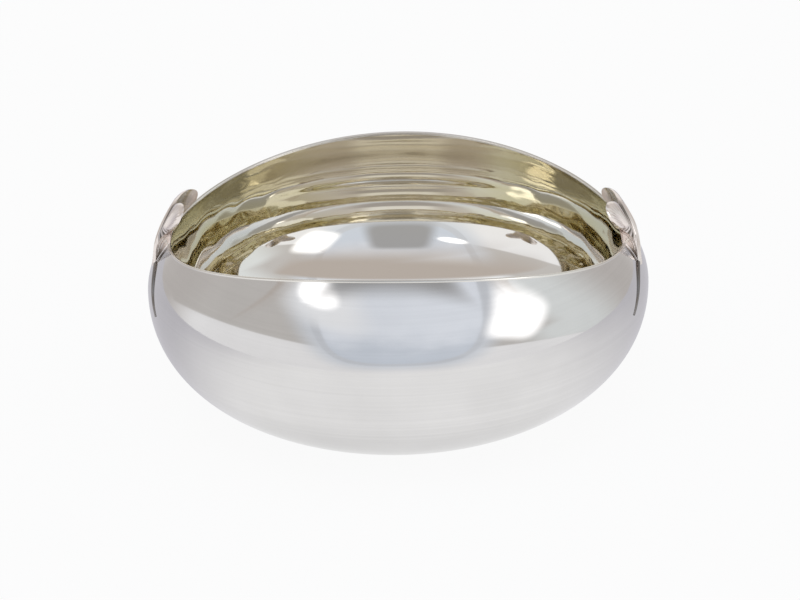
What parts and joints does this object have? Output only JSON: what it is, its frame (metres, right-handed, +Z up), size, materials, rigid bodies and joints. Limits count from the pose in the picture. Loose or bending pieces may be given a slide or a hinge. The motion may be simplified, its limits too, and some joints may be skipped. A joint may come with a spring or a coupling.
{
  "type": "bowl",
  "caption": "Round polished silver bowl with a saddle-shaped mouth, a wired lip, and a notched cast leaf with a trailing stalk at each dip of the rim, for holding fruit or offerings.",
  "frame": {"origin": "centre of the flat base, on the surface the bowl stands on", "axes": "+Z up through the mouth; +X through the right leaf; -Y towards the front, the side the stalks trail to"},
  "size_m": [0.25, 0.25, 0.114],
  "materials": {
    "polished_silver": "mirror polish",
    "cast_silver": "satin polish, dark in the recesses"
  },
  "bodies": {
    "root": {"bowl_body": "polished_silver", "front_rim_wire": "polished_silver", "back_rim_wire": "polished_silver", "left_leaf": "cast_silver", "left_stalk": "cast_silver", "right_leaf": "cast_silver", "right_stalk": "cast_silver"}
  },
  "joints": []
}
